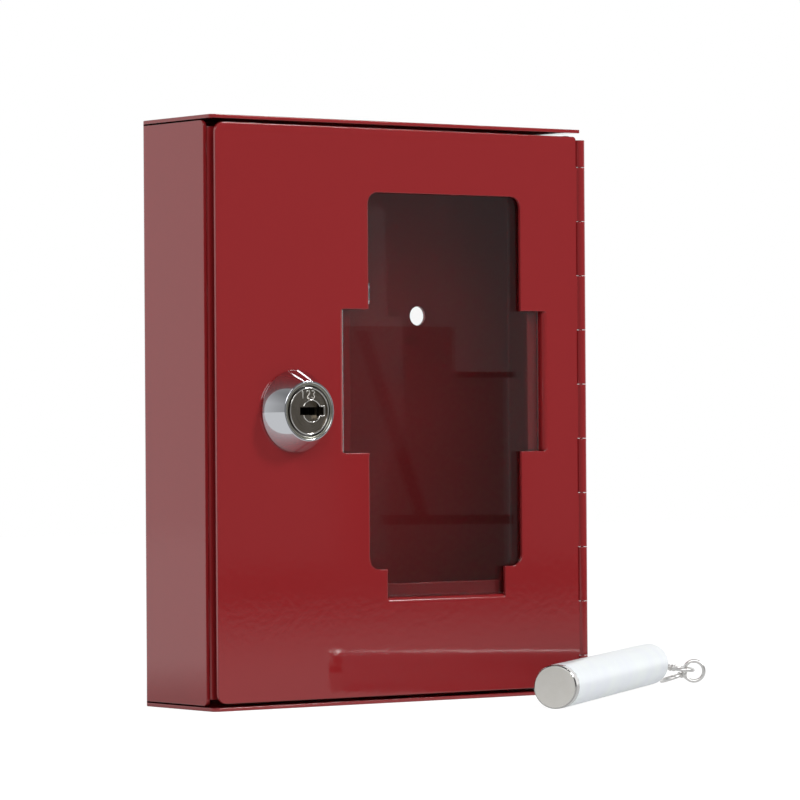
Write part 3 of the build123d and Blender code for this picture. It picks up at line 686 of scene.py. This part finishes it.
def paper_floor():
    """Matt white paper. To the eye it is lifted to pure white and keeps a trace of the shadow; mirrors see an
    even white behind the object, a duller one beside it, and the dark studio in front. Y is in metres."""
    material = bpy.data.materials.new("white paper floor")
    tree = emptied_tree(material)
    matt = add(tree, "ShaderNodeBsdfPrincipled", {
        "Base Color": linear("#F4F4F4"), "Roughness": 0.8, "Specular IOR Level": 0.0})
    place = add(tree, "ShaderNodeTexCoord").outputs["Object"]
    parts = add(tree, "ShaderNodeSeparateXYZ", {0: place})
    front = add(tree, "ShaderNodeMapRange", {
        "Value": parts.outputs["Y"], "From Min": -0.75, "From Max": -0.10, "To Min": 0.04, "To Max": 0.72},
        interpolation_type="SMOOTHSTEP")
    behind = add(tree, "ShaderNodeMapRange", {
        "Value": parts.outputs["Y"], "From Min": 0.0, "From Max": 0.20, "To Min": 0.0, "To Max": 0.55},
        interpolation_type="SMOOTHSTEP")
    mirrored = add(tree, "ShaderNodeMath", {0: front.outputs[0], 1: behind.outputs[0]}, operation="ADD")
    mirror_glow = add(tree, "ShaderNodeEmission", {
        "Color": linear("#FFFFFF"), "Strength": mirrored.outputs[0]})
    glow = add(tree, "ShaderNodeEmission", {"Color": linear("#FFFFFF"), "Strength": 0.94})
    shadow = add(tree, "ShaderNodeBsdfDiffuse", {"Color": linear("#6F6F6F")})
    lifted = add(tree, "ShaderNodeAddShader", {0: glow.outputs[0], 1: shadow.outputs[0]})
    path = add(tree, "ShaderNodeLightPath")
    straight = add(tree, "ShaderNodeMath", {
        0: path.outputs["Is Camera Ray"], 1: seen_through(tree, path)}, operation="MAXIMUM")
    other = add(tree, "ShaderNodeMixShader", {
        0: path.outputs["Is Glossy Ray"], 1: matt.outputs[0], 2: mirror_glow.outputs[0]})
    mix = add(tree, "ShaderNodeMixShader", {
        0: straight.outputs[0], 1: other.outputs[0], 2: lifted.outputs[0]})
    add(tree, "ShaderNodeOutputMaterial", {"Surface": mix.outputs[0]})
    return material


def card_material(name, colour):
    """A painted studio card that only mirrors see, with its own even brightness."""
    material = bpy.data.materials.new(name)
    tree = emptied_tree(material)
    glow = add(tree, "ShaderNodeEmission", {"Color": linear(colour), "Strength": 1.0})
    add(tree, "ShaderNodeOutputMaterial", {"Surface": glow.outputs[0]})
    return material


def studio_surround():
    """The world. The eye sees plain white. Mirrors see by direction: dark in front of the door and brighter
    towards the wall, duller overhead, with a window far out on the right. X, Y and Z are those of the unit
    vector that points that way."""
    world = bpy.data.worlds.new("studio")
    tree = emptied_tree(world)
    path = add(tree, "ShaderNodeLightPath")
    way = add(tree, "ShaderNodeTexCoord").outputs["Generated"]
    parts = add(tree, "ShaderNodeSeparateXYZ", {0: way})
    wall = add(tree, "ShaderNodeMapRange", {
        "Value": parts.outputs["Y"], "From Min": -0.3, "From Max": 0.6, "To Min": 0.20, "To Max": 1.15},
        interpolation_type="SMOOTHSTEP")
    dusk = add(tree, "ShaderNodeMapRange", {
        "Value": parts.outputs["Z"], "From Min": 0.35, "From Max": 0.75, "To Min": 1.0, "To Max": 0.5})
    window = add(tree, "ShaderNodeMapRange", {
        "Value": parts.outputs["X"], "From Min": 0.86, "From Max": 0.97, "To Min": 0.0, "To Max": 0.7})
    dusky = add(tree, "ShaderNodeMath", {0: wall.outputs[0], 1: dusk.outputs[0]}, operation="MULTIPLY")
    level = add(tree, "ShaderNodeMath", {0: dusky.outputs[0], 1: window.outputs[0]}, operation="ADD")
    dim = add(tree, "ShaderNodeBackground", {"Color": linear("#FFFFFF"), "Strength": level.outputs[0]})
    bright = add(tree, "ShaderNodeBackground", {"Color": linear("#FFFFFF"), "Strength": 1.0})
    straight = add(tree, "ShaderNodeMath", {
        0: path.outputs["Is Camera Ray"], 1: seen_through(tree, path)}, operation="MAXIMUM")
    seen = add(tree, "ShaderNodeMixShader", {0: straight.outputs[0], 1: dim.outputs[0], 2: bright.outputs[0]})
    add(tree, "ShaderNodeOutputWorld", {"Surface": seen.outputs[0]})
    return world


def plate(name, corners, material):
    """A flat surface that belongs to the studio, not to the object."""
    mesh = bpy.data.meshes.new(name)
    mesh.from_pydata([tuple(np.array(c) * MM) for c in corners], [], [tuple(range(len(corners)))])
    mesh.materials.append(material)
    surface = bpy.data.objects.new(name, mesh)
    bpy.context.scene.collection.objects.link(surface)
    return surface


def lamp(name, place, aim, size, watts):
    """A soft box at a place in mm, facing a point in mm."""
    light = bpy.data.lights.new(name, "AREA")
    light.shape = "RECTANGLE"
    light.size, light.size_y = (s * MM for s in size)
    light.energy = watts
    box = bpy.data.objects.new(name, light)
    box.location = Vector(place) * MM
    box.rotation_mode = "QUATERNION"
    box.rotation_quaternion = (Vector(aim) - Vector(place)).to_track_quat("-Z", "Y")
    bpy.context.scene.collection.objects.link(box)
    return box


floor_side, floor_front, floor_back = 1500, -900, 1500
plate("floor", [
    (-floor_side, floor_front, floor_z), (floor_side, floor_front, floor_z),
    (floor_side, floor_back, floor_z), (-floor_side, floor_back, floor_z)], paper_floor())

# What stands on the camera's side of the studio and shows in the glass: a dark stand with a stepped outline,
# its slanting leg, a rail and a shelf. Corners are (x, z) on a plane in front of the door.
card_y = -600
detail_y = card_y + 2          # the leg, rail and shelf are just nearer to the door than the stand
stand_dark = card_material("dark stand card", "#625A5A")
stand_black = card_material("black stand card", "#443D3D")
cards = {
    "stand_card": ([(386, 38), (449, 38), (449, 19), (476, 19), (476, -74), (386, -74)], card_y, stand_dark),
    "stand_leg": ([(396, 36), (403, 36), (435, -45), (428, -45)], detail_y, stand_black),
    "stand_rail": ([(409, -41), (478, -42), (478, -46), (409, -45)], detail_y, stand_black),
    "stand_shelf": ([(449, 19), (480, 19), (480, 16.5), (449, 16.5)], detail_y, stand_black),
}
for name, (corners, y, material) in cards.items():
    card = plate(name, [(x, y, z) for x, z in corners], material)
    card.visible_camera = card.visible_diffuse = card.visible_shadow = False

bpy.context.scene.world = studio_surround()

# The key lights the door and the left wall. The two small lamps put the glints on the lock's cone and along
# the slot's lower edge, and the right lamp gives the sleeve the bright line that the door mirrors.
lamp("key soft box", place=(-650, -1050, 850), aim=(0, -20, 0), size=(1100, 800), watts=11.4)
lamp("high lamp", place=(400, -440, 950), aim=(0, -40, -20), size=(80, 80), watts=0.3)
lamp("glint lamp", place=(710, -656, 720), aim=(0, -40, 0), size=(90, 130), watts=0.8)
lamp("right lamp", place=(600, -800, 700), aim=(20, -50, -60), size=(170, 300), watts=6.2)


# ---- camera ------------------------------------------------------------------------------------------------

camera_place = (-675.85, -947.3, -3.3)
camera_turn = math.radians(36.409)     # to the right of straight at the wall
camera_lift = math.radians(0.322)      # above level
camera_roll = math.radians(-0.370)
camera_data = bpy.data.cameras.new("camera")
camera_data.lens = 198.0
camera_data.sensor_width = 36.0
camera_data.clip_start = 0.05
camera_data.clip_end = 20.0
camera = bpy.data.objects.new("camera", camera_data)
camera.matrix_world = (
    Matrix.Translation(Vector(camera_place) * MM)
    @ Matrix.Rotation(-camera_turn, 4, "Z")
    @ Matrix.Rotation(math.pi / 2 + camera_lift, 4, "X")
    @ Matrix.Rotation(camera_roll, 4, "Z")
)
bpy.context.scene.collection.objects.link(camera)
bpy.context.scene.camera = camera
bpy.context.scene.view_settings.view_transform = "Standard"
